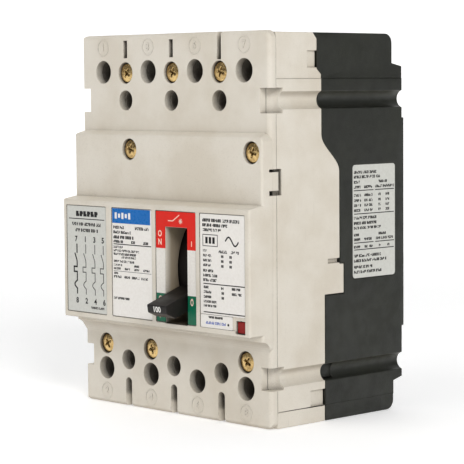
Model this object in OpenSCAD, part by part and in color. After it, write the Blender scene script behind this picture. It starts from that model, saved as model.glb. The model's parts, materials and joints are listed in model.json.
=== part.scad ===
// Four-pole moulded case breaker.
// Frame: +X to the right seen from the front, the front faces -Y, +Z up towards the line terminals.
// Origin: centre of the rear mounting face. Depths are written as "f", the distance in front of the
// rear face, so a point at depth f has y = -f. Side outlines are drawn as [f, z].

/* [Case] */
// Distance between neighbouring poles
pole_pitch = 25.4; // [25.2:0.1:25.8]
// Height of the front cover
case_h = 139.7; // [139.3:0.1:140.3]
// Depth from the rear face to the deck of the front cover
deck_f = 70; // [69.8:0.1:70.3]
// Depth to the raised step above the escutcheon
step_f = 74; // [73.6:0.1:74.4]
// Depth to the escutcheon, the part that stands through a panel cut-out
face_f = 80.3; // [79.9:0.1:80.8]
// Thickness of the outer side walls
side_wall = 1.7; // [1.5:0.1:1.9]

/* [Mounting] */
// Height of the upper mounting holes above the origin
mount_top_z = 45.4; // [45.2:0.1:45.6]
// Height of the lower mounting holes, below the origin
mount_low_z = -52.1; // [-52.3:0.1:-51.9]
// Radius of a mounting hole through the rear base
mount_r = 2.3; // [2.1:0.1:2.4]
// Radius of the recess for a mounting screw's head
mount_head_r = 3.75; // [3.5:0.05:3.8]

/* [Terminals] */
// Height of the line terminal screws
line_z = 56; // [55.8:0.1:56.2]
// Height of the load terminal screws
load_z = -56.4; // [-56.6:0.1:-56.2]
// Radius of the cable bore in a lug
lug_bore_r = 5.25; // [4.8:0.05:5.4]
// Radius of a terminal screw
term_screw_r = 3.95; // [3.85:0.05:3.95]
// Radius of a screwdriver access hole in the front cover
access_r = 4.3; // [4.2:0.05:4.4]

/* [Handle] */
// Centre of the handle and of its slot along X
handle_x = 13; // [12.9:0.05:13.1]
// Width of the handle's grip
handle_w = 10.4; // [10:0.1:10.8]
// Angle of the handle below level when the breaker is off
off_angle = 19.1; // [18.6:0.1:19.4]
// Outer radius of the curved skirt behind the slot
skirt_r = 26; // [25.8:0.1:26]

/* [Mechanism] */
// Angle that the contact arms turn between off and on
contact_swing = 36; // [35:0.5:37]
// Radius of the crossbar
crossbar_r = 6; // [5.6:0.1:6]
// Radius of the trip bar
trip_bar_r = 2.8; // [2.6:0.1:2.8]

/* [Hidden] */
$fn = 64;
EPS = 0.1;

POLES = [-1.5, -0.5, 0.5, 1.5] * pole_pitch;
WALLS = [-1, 0, 1] * pole_pitch;
half_w = 2 * pole_pitch;
half_h = case_h / 2;
cavity_half = pole_pitch / 2 - side_wall;
mech_x = POLES[2] + 0.25;

// Where the three mouldings meet
seam_f = 67;
seam_gap = 0.2;
mid_front_f = seam_f - seam_gap;
mid_wall_f = mid_front_f - 2.5;
split_gap = 0.3;
lower_top_z = half_h - 0.6;
lower_bottom_z = -half_h + 0.1;

// Pivots of the mechanism, as [f, z]
PIVOT = [47.5, -15.5];
CROSSBAR = [22, -4];
TRIP_BAR = [42, -44];
CRADLE_PIVOT = [56, 2];
CRADLE_LINK = [50, -4];
crank_r = 13;
lower_link_len = 17;
upper_link_len = 15.3;
off_crank_angle = 96 - contact_swing;
CRANK = CROSSBAR + crank_r * [cos(off_crank_angle), sin(off_crank_angle)];
// The toggle pin is where the two links meet, on the load side of the line between their other ends
link_span = norm(CRADLE_LINK - CRANK);
link_dir = atan2(CRADLE_LINK[1] - CRANK[1], CRADLE_LINK[0] - CRANK[0]);
link_bend = acos((lower_link_len ^ 2 + link_span ^ 2 - upper_link_len ^ 2)
  / (2 * lower_link_len * link_span));
TOGGLE = CRANK + lower_link_len * [cos(link_dir - link_bend), sin(link_dir - link_bend)];
anchor_r = 20;
ANCHOR = PIVOT + anchor_r * [cos(off_angle), -sin(off_angle)];
pin_r = 1.5;
running_gap = 0.05;

// Colours
cream = "#d9d1c3";
dark = "#3a3c39";
steel = "#b4b6b8";
zinc = "#c8aa6e";
copper = "#b87346";
silver = "#d8d8d6";
insulator = "#5b4636";
paper_white = "#e8e8e6";

// ---------- Helpers ----------

// A side outline in [f, z], extruded from x0 to x1
module across(x0, x1) {
  translate([x1, 0, 0])
    rotate([90, 0, -90])
      linear_extrude(x1 - x0)
        children();
}

// A front outline in [x, z], extruded from depth f0 to f1
module facing(f0, f1) {
  translate([0, -f0, 0])
    rotate([90, 0, 0])
      linear_extrude(f1 - f0)
        children();
}

// A top outline in [x, f], extruded from z0 to z1
module upright(z0, z1) {
  translate([0, 0, z0])
    mirror([0, 1, 0])
      linear_extrude(z1 - z0)
        children();
}

module block(x, f, z) {
  translate([x[0], -f[1], z[0]])
    cube([x[1] - x[0], f[1] - f[0], z[1] - z[0]]);
}

// A round bar along Y, from depth f0 to f1
module round_f(x, z, r, f0, f1) {
  translate([x, -f0, z])
    rotate([90, 0, 0])
      cylinder(r = r, h = f1 - f0);
}

// A round bar along X at the side point p
module round_x(p, r, x0, x1) {
  translate([x0, -p[0], p[1]])
    rotate([0, 90, 0])
      cylinder(r = r, h = x1 - x0);
}

// Turns its children about an X axle at the side point p, from the front towards the top
module swing(p, angle) {
  translate([0, -p[0], p[1]])
    rotate([-angle, 0, 0])
      translate([0, p[0], -p[1]])
        children();
}

function arc(c, r, a0, a1, steps = 8) =
  [for (i = [0 : steps]) let (a = a0 + (a1 - a0) * i / steps) c + r * [cos(a), sin(a)]];

// The range from c + low to c + high
function span(c, low, high) = [c + low, c + high];

function ease(t) = 3 * t ^ 2 - 2 * t ^ 3;

// A rectangle from (x0, z0) to (x1, z1) with round corners
module soft_rect(x0, x1, z0, z1, r) {
  translate([x0 + r, z0])
    square([x1 - x0 - 2 * r, z1 - z0]);
  translate([x0, z0 + r])
    square([x1 - x0, z1 - z0 - 2 * r]);
  for (x = [x0 + r, x1 - r], z = [z0 + r, z1 - r])
    translate([x, z])
      circle(r = r);
}

// A flat bar with round ends between two side points, with an eye of radius hole at each end
module link(a, b, r, hole, x0, x1) {
  length = norm(b - a);
  across(x0, x1)
    translate(a)
      rotate(atan2(b[1] - a[1], b[0] - a[0]))
        difference() {
          union() {
            circle(r = r);
            translate([length, 0])
              circle(r = r);
            translate([0, -r])
              square([length, 2 * r]);
          }
          circle(r = hole);
          translate([length, 0])
            circle(r = hole);
        }
}

// A helical spring from the origin along +Z
module coil(length, r, wire, turns) {
  steps = 10;
  sides = 6;
  rings = turns * steps;
  points = [for (i = [0 : rings], k = [0 : sides - 1])
    let (a = 360 * i / steps, b = 360 * k / sides, q = r + wire * cos(b))
    [q * cos(a), q * sin(a), wire + (length - 2 * wire) * i / rings + wire * sin(b)]];
  skin = [for (i = [0 : rings - 1], k = [0 : sides - 1], half = [0, 1])
    let (n = (k + 1) % sides, p = i * sides, q = p + sides)
    half == 0 ? [p + k, q + n, q + k] : [p + k, p + n, q + n]];
  ends = [[for (k = [sides - 1 : -1 : 0]) k],
    [for (k = [0 : sides - 1]) rings * sides + k]];
  polyhedron(points, concat(skin, ends), convexity = 10);
}

// ---------- Mouldings ----------

// The line where the dark base meets the cream case, from the top down. Positive gap moves it forward.
function split_line(gap) = concat(
  [[47.9 + gap, lower_top_z], [46 + gap, 67], [46 + gap, 56.5], [43.8 + gap, 54.5]],
  [for (i = [0 : 10]) [43.8 + gap - 9.2 * ease(i / 10), 33 - 13 * i / 10]]);

// The base's edge continues down past the case's side tab
base_edge = [[34.6, -13.3], [32.5, -13.3], [32.5, -24.5], [42.4, -24.5], [42.4, lower_bottom_z]];

module base_outline() {
  polygon(concat(
    split_line(0), base_edge,
    arc([9.2, lower_bottom_z + 3.5], 3.5, 270, 180),
    [[5.7, -59.2], [1, -58], [1, -39], [0, -39], [0, 38.5], [1, 38.5], [1, 57.4], [6.4, 58.5]],
    arc([9.9, lower_top_z - 3.5], 3.5, 180, 90)));
}

module case_outline() {
  polygon(concat(
    split_line(split_gap),
    [[34.6 + split_gap, -13.6], [32.8, -13.6], [32.8, -24.2], [42.4 + split_gap, -24.2],
      [42.4 + split_gap, lower_bottom_z], [mid_front_f, lower_bottom_z], [mid_front_f, lower_top_z]]));
}

// One pole's hollow, seen from the side
module cavity_outline() {
  polygon([[9, -66.6], [9, -56], [3, -54.5], [3, 54.5], [9, 56], [9, 66.3],
    [mid_wall_f, 66.3], [mid_wall_f, -66.6]]);
}

module pole_cavities() {
  for (x = POLES)
    across(x - cavity_half, x + cavity_half)
      cavity_outline();
}

// Walls between the poles thicken at both ends to take the phase barrier slots
barrier_half = 3.8;
module barrier_walls() {
  for (x = WALLS, z = [[59.4, 68], [-68, -59.4]])
    block([x - barrier_half, x + barrier_half], [8, mid_front_f - 1], z);
}

top_slot_w = 2.1;
low_slot_w = 3.5;
top_slot_z = 61.1;
low_slot_z = -60.7;
slot_floor_f = 12;
module barrier_slots(f0, f1) {
  for (x = WALLS) {
    block([x - top_slot_w / 2, x + top_slot_w / 2], [f0, f1], [top_slot_z, half_h + 1]);
    block([x - low_slot_w / 2, x + low_slot_w / 2], [f0, f1], [-half_h - 1, low_slot_z]);
    round_f(x, low_slot_z, low_slot_w / 2, f0, f1);
  }
}

// An eight-sided boss inside the case, with room for a circle of radius r
module boss(x, z, r, f0, f1) {
  translate([x, -f0, z])
    rotate([90, 0, 0])
      rotate(22.5)
        cylinder(r = r / cos(22.5), h = f1 - f0, $fn = 8);
}

mount_boss_r = 3.9;
head_boss_r = 4.9;
head_floor_f = 57;
module mount_bosses(r, f0, f1) {
  for (x = [-2, -1, 0, 1, 2] * pole_pitch, z = [mount_top_z, mount_low_z])
    boss(x, z, r, f0, f1);
}

module mount_holes(r, f0, f1) {
  for (x = WALLS, z = [mount_top_z, mount_low_z])
    round_f(x, z, r, f0, f1);
}

// Half-round channels down both sides, in line with the mounting holes
channel_r = 3.2;
module side_channels() {
  for (side = [-1, 1], z = [mount_top_z, mount_low_z])
    round_f(side * (half_w + 0.8), z, channel_r, -1, seam_f);
}

// The ends stand back a little from the sides' main surface
module end_steps() {
  for (side = [-1, 1], z = [[53, half_h + 1], [-half_h - 1, -64]])
    translate([side * half_w, 0, 0])
      block([-0.15, 0.15], [-1, face_f], z);
}

// Front corner notches, whose floor curves up into the inner wall, and the thicker wall behind them
notch_depth = 5;
notch_floor_f = 63.5;
notch_curve_r = 3.2;
NOTCHES = [[41, 49.8], [-56.2, -48]];
module corner_notches() {
  for (side = [0, 1], z = NOTCHES)
    mirror([side, 0, 0])
      upright(z[0], z[1])
        polygon(concat(
          [[half_w + 1, notch_floor_f], [half_w + 1, deck_f + 1], [half_w - notch_depth, deck_f + 1]],
          arc([half_w - notch_depth + notch_curve_r, notch_floor_f + notch_curve_r], notch_curve_r,
            180, 270, 8)));
}

module notch_walls() {
  for (side = [-1, 1], z = NOTCHES)
    translate([side * (half_w - 3.2), 0, 0])
      block([-3.1, 3.1], [notch_floor_f - 2, mid_front_f], [z[0] - 1.3, z[1] + 1.3]);
}

top_screw_z = 55.6;
low_screw_z = -47;
LOW_SCREWS = [-1.5, -0.5, 1.5] * pole_pitch;
MIDDLE_SCREWS = [[-19.1, 27.4], [45.5, 27.4]];
case_screw_z = -36;
screw_r = 1.9;
screw_hole_r = 1.95;
cover_boss_r = 4.2;
case_boss_r = 4.4;
short_boss_r = 3.3;
case_seat_f = mid_wall_f + 0.3;
head_hole_r = 4;
head_depth = 2.2;

cable_r = 7;
cable_f = 31;
module cable_holes() {
  for (x = POLES)
    translate([x, -cable_f, -half_h - 1])
      cylinder(r = cable_r, h = case_h + 2);
}

module rear_base() {
  color(dark)
    difference() {
      union() {
        difference() {
          across(-half_w, half_w)
            base_outline();
          pole_cavities();
        }
        intersection() {
          across(-half_w, half_w)
            base_outline();
          union() {
            barrier_walls();
            mount_bosses(mount_boss_r, 0, 48);
            for (x = WALLS) {
              boss(x, top_screw_z, cover_boss_r, 20, 48);
              boss(x, case_screw_z, case_boss_r, 20, 48);
            }
          }
        }
      }
      barrier_slots(slot_floor_f, 60);
      mount_holes(mount_r, -1, 60);
      side_channels();
      end_steps();
      for (z = [[50, half_h + 1], [-half_h - 1, -50]])
        intersection() {
          cable_holes();
          block([-half_w, half_w], [20, 42], z);
        }
      for (x = WALLS) {
        round_f(x, top_screw_z, screw_hole_r, 30, 60);
        round_f(x, case_screw_z, screw_hole_r, 30, 60);
      }
      // Bearings for the crossbar and for the trip bar, cut through the walls between poles
      across(POLES[0] - 9, POLES[3] + 9) {
        translate(CROSSBAR)
          circle(r = crossbar_r + 0.4);
        translate([CROSSBAR[0], CROSSBAR[1] - crossbar_r - 0.4])
          square([30, 2 * crossbar_r + 0.8]);
        translate(TRIP_BAR)
          circle(r = trip_bar_r + running_gap);
      }
      // A hook's pocket at the front of the lower channels, and a shallow recess for the label
      for (side = [-1, 1])
        translate([side * half_w, 0, 0])
          block([-2.9, 2.9], [37.6, seam_f], [-54.8, -49.4]);
      across(half_w - side_recess, half_w + 1)
        side_label_outline(side_label_gap);
    }
}

// The label on the right-hand side lies in a recess of its own, below the surface
side_recess = 0.3;
side_label_gap = 0.15;
module side_label_outline(gap) {
  soft_rect(4.85 - gap, 27.8 + gap, -19.5 - gap, 21.7 + gap, 1.2 + gap);
}

chimney_r = 5.9;
chimney_hole_r = 3.7;
chimney_floor_f = 50;
snap_z = [12.4, 21.6];
MECH_WINDOW_X = [handle_x - 7.8, handle_x + 7.8];
YOKE_WINDOW_X = [handle_x - 9, handle_x + 9];
button_x = 46;
button_z = -33.2;
button_w = 4.6;
button_h = 4.2;
button_travel = 1.8;
stem_r = 1.4;

module mid_case() {
  color(cream)
    difference() {
      union() {
        difference() {
          across(-half_w, half_w)
            case_outline();
          pole_cavities();
        }
        intersection() {
          across(-half_w, half_w)
            case_outline();
          union() {
            barrier_walls();
            notch_walls();
            mount_bosses(mount_boss_r, 30, 66);
            mount_bosses(head_boss_r, 55.5, 66);
            for (x = WALLS) {
              boss(x, top_screw_z, cover_boss_r, 40, 66);
              boss(x, case_screw_z, case_boss_r, 40, 66);
            }
            for (x = POLES, z = [line_z, load_z])
              boss(x, z, chimney_r, chimney_floor_f, 66);
            for (x = LOW_SCREWS)
              boss(x, low_screw_z, short_boss_r, 58, 66);
            for (p = MIDDLE_SCREWS)
              boss(p[0], p[1], short_boss_r, 58, 66);
          }
        }
      }
      barrier_slots(30, seam_f);
      mount_holes(mount_r, 30, 60);
      mount_holes(mount_head_r, head_floor_f, seam_f);
      side_channels();
      end_steps();
      corner_notches();
      for (x = WALLS) {
        round_f(x, top_screw_z, screw_hole_r, 30, seam_f);
        round_f(x, case_screw_z, screw_hole_r, 30, seam_f);
        round_f(x, case_screw_z, head_hole_r, case_seat_f, seam_f);
      }
      for (x = POLES, z = [line_z, load_z]) {
        round_f(x, z, chimney_hole_r, 40, seam_f);
        round_f(x, z, access_r + 0.7, 61, seam_f);
      }
      for (x = LOW_SCREWS)
        round_f(x, low_screw_z, screw_hole_r, 59.5, seam_f);
      for (p = MIDDLE_SCREWS)
        round_f(p[0], p[1], screw_hole_r, 59.5, seam_f);
      // Windows for the operating mechanism, the button's stem and the cover's snap tongues
      block(MECH_WINDOW_X, [50, seam_f], [-43, 13]);
      block(YOKE_WINDOW_X, [50, seam_f], [-31, 13]);
      round_f(button_x, button_z, stem_r + 0.4, 50, seam_f);
      for (side = [-1, 1])
        translate([side * half_w, 0, 0])
          block([-2.2, 2.2], [64.4, seam_f], snap_z);
      // The bar's upper half-bearing, and the slot above the side tabs
      across(POLES[0] - 9, POLES[3] + 9)
        translate(TRIP_BAR)
          circle(r = trip_bar_r + running_gap);
      for (side = [-1, 1])
        translate([side * half_w, 0, 0])
          block([-1.2, 1.2], [34, 41], [-13.1, -11.5]);
      // Shallow finger pockets at the edge, near the top and the bottom
      for (side = [-1, 1], pocket = [[[45, 51], [56.9, 62.8]], [[40, 50.2], [-63.9, -58.1]]])
        translate([side * half_w, 0, 0])
          block([-1.1, 1.1], pocket[0], pocket[1]);
    }
}

// Side outlines of the cover's raised parts
low_slope_z = -43.3;
module deck_outline() {
  polygon(concat(
    [[seam_f, -half_h]],
    arc([deck_f - 1.6, -half_h + 1.6], 1.6, -90, 0),
    arc([deck_f - 1.6, half_h - 1.6], 1.6, 0, 90),
    [[seam_f, half_h]]));
}

module step_outline() {
  polygon(concat(
    [[deck_f - 1, low_slope_z]],
    [for (t = [0 : 10 : 90]) [step_f - (step_f - deck_f) * cos(t), low_slope_z + 4.8 * sin(t)]],
    arc([step_f - 1.2, 31.9], 1.2, 0, 70),
    [[deck_f, 34.2], [deck_f - 1, 34.2]]));
}

module escutcheon_outline() {
  polygon(concat(
    [[step_f - 1, -36.5]],
    arc([face_f - 0.5, -36], 0.5, -90, 0, 4),
    arc([face_f - 0.8, 7.4], 0.8, 0, 80, 4),
    [[step_f, 9.2], [step_f - 1, 9.2]]));
}

// A block's plan, with the two front edges rounded
module plan_outline(f0, f1, r) {
  polygon(concat(
    [[-half_w, f0]], arc([-half_w + r, f1 - r], r, 180, 90, 6),
    arc([half_w - r, f1 - r], r, 90, 0, 6), [[half_w, f0]]));
}

module cover_tier(z0, z1, f0, f1, edge_r, corner_r) {
  intersection() {
    across(-half_w, half_w)
      children();
    upright(z0, z1)
      plan_outline(f0, f1, edge_r);
    facing(f0, f1)
      soft_rect(-half_w, half_w, z0, z1, corner_r);
  }
}

WINDOWS_X = [[-48.8, -25.5], [-22.5, 0.2], [2.0, 23.6], [25.4, 48.5]];
WINDOW_Z = [-34.5, 6.1];
window_f = face_f - 0.5;
label_t = 0.3;
slot_half = 5.9;
SLOT_Z = [-34.7, 0.2];
slot_rim = 0.8;
cover_inner_f = face_f - 2.3;

// The button stands back from the escutcheon, and its guide reaches back to guide_f
button_front_f = face_f - 1;
button_back_f = face_f - 3.4;
guide_f = 69.5;

// The button's face, grown by gap for its pocket
module button_outline(gap) {
  soft_rect(button_x - button_w / 2 - gap, button_x + button_w / 2 + gap,
    button_z - button_h / 2 - gap, button_z + button_h / 2 + gap, 0.4);
}

// The tube that lines the handle's slot, behind the plate
module slot_lining() {
  block([handle_x - slot_half - slot_rim, handle_x + slot_half + slot_rim], [68, window_f],
    [SLOT_Z[0] - slot_rim, SLOT_Z[1] + slot_rim]);
}

module front_cover() {
  color(cream)
    difference() {
      union() {
        difference() {
          union() {
            cover_tier(-half_h, half_h, seam_f, deck_f, 1.8, 3)
              deck_outline();
            cover_tier(low_slope_z, 34.2, deck_f - 1, step_f, 1, 3.2)
              step_outline();
            cover_tier(-36.5, 9.2, step_f - 1, face_f, 1, 0.8)
              escutcheon_outline();
          }
          // Hollow behind the step and the escutcheon
          block([-half_w + 2, half_w - 2], [seam_f - 1, step_f - 2.2], [-35, 31.2]);
          block([-half_w + 2, half_w - 2], [seam_f - 1, cover_inner_f], [-34.9, 6.4]);
          for (x = WINDOWS_X)
            facing(window_f, face_f + 1)
              soft_rect(x[0], x[1], WINDOW_Z[0], WINDOW_Z[1], 0.6);
        }
        slot_lining();
        for (p = MIDDLE_SCREWS)
          intersection() {
            round_f(p[0], p[1], 5, seam_f, step_f - 1);
            block([-half_w + 1, half_w - 1], [0, face_f], [20, 32]);
          }
        block([button_x - 3.6, button_x + 3.6], [guide_f, cover_inner_f + 0.5],
          [button_z - 3.1, button_z + 3.3]);
        // Rings round the terminal numbers
        for (x = POLES, z = [65.1, -65.2])
          facing(deck_f - 0.5, deck_f + 0.15)
            translate([x, z])
              difference() {
                circle(r = 3.15);
                circle(r = 2.8);
              }
        // Snap tongues
        for (side = [-1, 1])
          translate([side * (half_w - 1.1), 0, 0])
            block([-0.8, 0.8], [65.7, 71.5], [14.1, 20.6]);
      }
      for (side = [-1, 1], z = [[snap_z[0], 14.1], [20.6, snap_z[1]]])
        translate([side * half_w, 0, 0])
          block([-3, 3], [seam_f - 1, 70.5], z);
      // Slot for the handle, and room for the skirt behind it
      block([handle_x - slot_half, handle_x + slot_half], [60, face_f + 1], SLOT_Z);
      round_x(PIVOT, skirt_r + 0.5, handle_x - 9, handle_x + 9);
      // Push-to-trip button, its spring and its stem
      facing(button_back_f - button_travel - 0.2, face_f + 1)
        button_outline(0.2);
      round_f(button_x, button_z, 2.4, guide_f + 0.8, face_f);
      round_f(button_x, button_z, stem_r + 0.1, seam_f, face_f);
      corner_notches();
      mount_holes(mount_head_r, 60, 72);
      for (x = POLES, z = [line_z, load_z])
        round_f(x, z, access_r, 60, 72);
      for (x = WALLS) {
        round_f(x, top_screw_z, 2.1, 60, 72);
        round_f(x, top_screw_z, head_hole_r, deck_f - head_depth, 72);
        block([x - top_slot_w / 2, x + top_slot_w / 2], [60, 72], [top_slot_z, 67.6]);
        block([x - low_slot_w / 2, x + low_slot_w / 2], [60, 72], [-half_h - 1, low_slot_z]);
        round_f(x, low_slot_z, low_slot_w / 2, 60, 72);
      }
      // The web at the end of the right-hand slot is broken out
      block([WALLS[2] - top_slot_w / 2, WALLS[2] + top_slot_w / 2], [60, 72], [60, 71]);
      for (x = LOW_SCREWS) {
        round_f(x, low_screw_z, 2.1, 60, 72);
        round_f(x, low_screw_z, head_hole_r, deck_f - head_depth, 72);
      }
      for (p = MIDDLE_SCREWS) {
        round_f(p[0], p[1], 2.1, 60, 76);
        round_f(p[0], p[1], head_hole_r, step_f - head_depth, 76);
      }
    }
}

// ---------- Labels ----------

module label(x0, x1, z0, z1, f = window_f) {
  facing(f, f + label_t)
    soft_rect(x0, x1, z0, z1, 0.4);
}

label_gap = 0.3;
module schematic_label() {
  color("#c8cdd0")
    label(WINDOWS_X[0][0] + label_gap, WINDOWS_X[0][1] - label_gap,
      WINDOW_Z[0] + label_gap, WINDOW_Z[1] - label_gap);
}

module rating_label() {
  color(paper_white)
    label(WINDOWS_X[1][0] + label_gap, WINDOWS_X[1][1] - label_gap,
      WINDOW_Z[0] + label_gap, WINDOW_Z[1] - label_gap);
}

module handle_plate() {
  color("#e82c20")
    difference() {
      label(WINDOWS_X[2][0] + label_gap, WINDOWS_X[2][1] - label_gap,
        WINDOW_Z[0] + label_gap, WINDOW_Z[1] - label_gap);
      block([handle_x - slot_half - 0.1, handle_x + slot_half + 0.1],
        [70, face_f + 1], [SLOT_Z[0] - 2, SLOT_Z[1] + 0.1]);
    }
}

sticker_top_z = -29.8;
module data_label() {
  color(paper_white)
    label(WINDOWS_X[3][0] + label_gap, WINDOWS_X[3][1] - label_gap, sticker_top_z + 0.2,
      WINDOW_Z[1] - label_gap);
}

module trip_sticker() {
  color("#f2f2f4")
    label(25.7, 41.9, WINDOW_Z[0] + 0.1, sticker_top_z);
}

module side_label() {
  color("#dfe0e0")
    across(half_w - side_recess, half_w - side_recess + 0.2)
      side_label_outline(0);
}

// ---------- Fasteners ----------

// A pan-head screw whose head seats at depth seat, with a crossed recess
module pan_screw(x, z, seat, tip) {
  difference() {
    union() {
      round_f(x, z, screw_r, tip, seat + EPS);
      round_f(x, z, 3.75, seat, seat + 1.3);
      round_f(x, z, 3.3, seat + 1.3, seat + 1.7);
    }
    for (turn = [0, 90])
      translate([x, -seat - 1.3, z])
        rotate([0, 20 + turn, 0])
          cube([4.2, 1.6, 0.8], center = true);
  }
}

module top_cover_screws() {
  color(zinc)
    for (x = WALLS)
      pan_screw(x, top_screw_z, deck_f - head_depth, 34);
}

module middle_cover_screws() {
  color(zinc)
    for (p = MIDDLE_SCREWS)
      pan_screw(p[0], p[1], step_f - head_depth, 60);
}

module bottom_cover_screws() {
  color(zinc)
    for (x = LOW_SCREWS)
      pan_screw(x, low_screw_z, deck_f - head_depth, 60);
}

module case_screws() {
  color(zinc)
    for (x = WALLS)
      pan_screw(x, case_screw_z, case_seat_f, 34);
}

// ---------- Terminals ----------

LUG_F = [22, 42];
lug_half_w = 8;
lug_half_h = 6.4;
module lugs(z) {
  for (x = POLES)
    difference() {
      block([x - lug_half_w, x + lug_half_w], LUG_F, [z - lug_half_h, z + lug_half_h]);
      translate([x, -cable_f, z - lug_half_h - 1])
        cylinder(r = lug_bore_r, h = 2 * lug_half_h + 2);
      round_f(x, z, term_screw_r + running_gap, cable_f, 50);
    }
}

module line_lugs() {
  color(silver)
    lugs(line_z);
}

module load_lugs() {
  color(silver)
    lugs(load_z);
}

// A socket-head terminal screw, wound all the way out
screw_tip_f = 36.5;
screw_end_f = 48.5;
module terminal_screw(x, z) {
  color(steel)
    difference() {
      union() {
        round_f(x, z, term_screw_r, screw_tip_f + 1, screw_end_f);
        round_f(x, z, 2.6, screw_tip_f, screw_tip_f + 1 + EPS);
      }
      translate([x, -screw_end_f + 3.5, z])
        rotate([90, 0, 0])
          cylinder(r = 2.9, h = 5, $fn = 6);
    }
}

module line_conductors() {
  color(copper)
    for (x = POLES)
      across(x - 6, x + 6)
        polygon([[22, line_z + 6], [22, 45], [13.7, 45], [13.7, 24], [10.7, 24], [10.7, 47.5],
          [19.5, 47.5], [19.5, line_z + 6]]);
}

module fixed_contacts() {
  color(silver)
    for (x = POLES)
      block([x - 3, x + 3], [13.7, 16.7], [27, 33]);
}

// ---------- Arc chutes ----------

ARC_PLATES_F = [24 : 3.6 : 46];
module arc_plates() {
  color(steel)
    for (x = POLES, f = ARC_PLATES_F)
      difference() {
        block([x - 9.4, x + 9.4], [f, f + 1.2], [25, 40]);
        block([x - 4.8, x + 4.8], [f - 1, f + 3], [24, 36]);
      }
}

module arc_chute_walls() {
  color(insulator)
    for (x = POLES, side = [-1, 1])
      translate([x + side * 9.9, 0, 0])
        block([-0.5, 0.5], [20, 50], [24, 41]);
}

// ---------- Contact arms and crossbar, drawn closed and turned to the off position ----------

arm_half = 3;
arm_t = 4;
module at_off() {
  swing(CROSSBAR, -contact_swing)
    children();
}

module crossbar() {
  color(insulator)
    at_off()
      difference() {
        round_x(CROSSBAR, crossbar_r, POLES[0] - 8.6, POLES[3] + 8.6);
        for (x = POLES)
          block([x - arm_half, x + arm_half], span(CROSSBAR[0], -arm_t / 2, arm_t / 2),
            span(CROSSBAR[1], -9, 9));
      }
}

module contact_arms() {
  color(copper)
    at_off()
      for (x = POLES)
        difference() {
          block([x - arm_half, x + arm_half], span(CROSSBAR[0], -arm_t / 2, arm_t / 2),
            span(CROSSBAR[1], -11, 37.5));
          if (x == POLES[2])
            round_x(CROSSBAR + crank_r * [cos(96), sin(96)], pin_r + 0.02, x - 5, x + 5);
        }
}

module moving_contacts() {
  color(silver)
    at_off()
      for (x = POLES)
        block([x - 2.5, x + 2.5], [17, 20], [27, 33]);
}

// ---------- Trip unit ----------

module load_conductors() {
  color(copper)
    for (x = POLES)
      across(x - 5, x + 5)
        polygon([[22, load_z - 6], [22, -47.5], [11.2, -47.5], [11.2, -36.8], [8.2, -36.8], [8.2, -49.5],
          [19.5, -49.5], [19.5, load_z - 6]]);
}

bimetal_z = -36.8;
module bimetals() {
  color("#a89a7c")
    for (x = POLES)
      difference() {
        block([x - 4, x + 4], [8.2, 38.5], [bimetal_z, bimetal_z + 1.2]);
        translate([x, -36, bimetal_z - 1])
          cylinder(r = 1.25, h = 4);
      }
}

module calibration_screws() {
  color(steel)
    for (x = POLES)
      translate([x, -36, -41.8])
        cylinder(r = 1.2, h = 7.6);
}

// Flexible braids, shaped as they lie with the contacts open
module braids() {
  color("#c07a50")
    for (x = POLES)
      across(x - 2.5, x + 2.5)
        polygon(concat(
          arc([19, -26], 9.9, 180, 125, 8),
          arc([19, -26], 8.1, 125, 180, 8),
          [[10.9, bimetal_z + 1.3], [9.1, bimetal_z + 1.3]]));
}

ARM_HINGE = [12.5, -31.5];
armature_open = 7;
// The current passes through the yoke, along the bimetal
module magnet_yokes() {
  color(steel)
    for (x = POLES)
      difference() {
        block([x - 6.6, x + 6.6], [14.5, 30], [-40.5, -34]);
        block([x - 4.8, x + 4.8], [13, 31], [-38.7, -33]);
      }
}

module armature(n) {
  x = POLES[n - 1];
  color("#8c8e90")
    swing(ARM_HINGE, armature_open)
      union() {
        difference() {
          union() {
            block([x - 6, x + 6], [12.5, 31], [-33.3, -31.9]);
            for (side = [-1, 1])
              translate([x + side * 5.4, 0, 0])
                round_x(ARM_HINGE, 2.2, -0.6, 0.6);
          }
          round_x(ARM_HINGE, 1 + running_gap, x - 8, x + 8);
        }
        block([x + 5, x + 6.6], [29, 37.5], [-33.3, -31.9]);
        block([x + 5, x + 6.6], [36, 37.5], [-37.5, -31.9]);
      }
}

module armature_pins() {
  color(steel)
    for (x = POLES)
      round_x(ARM_HINGE, 1, x - 7.4, x + 7.4);
}

latch_x = mech_x;
module trip_bar() {
  color(insulator)
    union() {
      round_x(TRIP_BAR, trip_bar_r, POLES[0] - 8.6, POLES[3] + 8.6);
      for (x = POLES)
        block([x - 2.5, x + 7], [34, TRIP_BAR[0]], span(TRIP_BAR[1], -0.8, 0.8));
      // Paddle for the button
      block([button_x - 2, button_x + 0.7], span(TRIP_BAR[0], 0, 2.4), [TRIP_BAR[1], -31]);
      // Latch finger for the cradle
      block([latch_x - 2, latch_x + 2], span(TRIP_BAR[0], -1.5, 1.5), [TRIP_BAR[1], -31]);
    }
}

stem_tip_f = TRIP_BAR[0] + 2.8;
module trip_button() {
  color("#b4201c")
    union() {
      facing(button_back_f, button_front_f)
        button_outline(0);
      round_f(button_x, button_z, stem_r, stem_tip_f, button_back_f + EPS);
    }
}

module trip_button_spring() {
  color(steel)
    translate([button_x, -guide_f - 0.9, button_z])
      rotate([90, 0, 0])
        coil(button_back_f - guide_f - 1.1, 1.95, 0.25, 5);
}

// ---------- Operating mechanism ----------

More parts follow.
